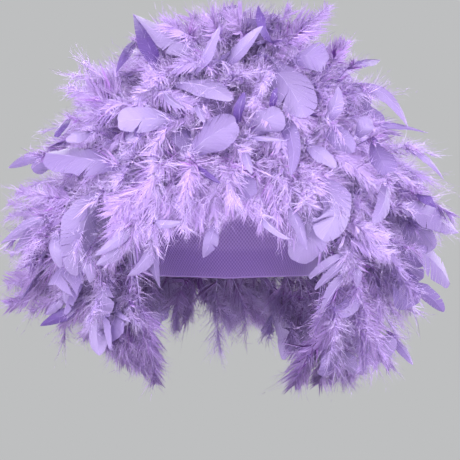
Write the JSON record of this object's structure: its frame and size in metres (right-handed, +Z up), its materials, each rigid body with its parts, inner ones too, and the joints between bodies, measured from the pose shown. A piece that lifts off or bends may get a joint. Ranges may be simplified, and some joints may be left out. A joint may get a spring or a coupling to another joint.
{
  "type": "feather wig",
  "caption": "Bushy costume wig: a stretch cloth cap with rows of feather boa sewn round it, a tuft on the crown and a feather fringe over the open face.",
  "frame": {"origin": "inside of the cap at the crown, where it sits on the top of the head", "axes": "+Z up, the face looks along -Y, +X to the viewer's right"},
  "size_m": [0.3254, 0.3215, 0.2825],
  "materials": {
    "cap_cloth": "matt knitted stretch cloth, violet",
    "feather": "dyed lavender chandelle feathers: satin vanes over matt down"
  },
  "bodies": {
    "root": {"cap": "cap_cloth", "crown_tuft": "feather", "boa_row_1": "feather", "boa_row_2": "feather", "boa_row_3": "feather", "boa_row_4": "feather", "boa_row_5": "feather", "boa_row_6": "feather", "boa_row_7": "feather"}
  },
  "joints": []
}
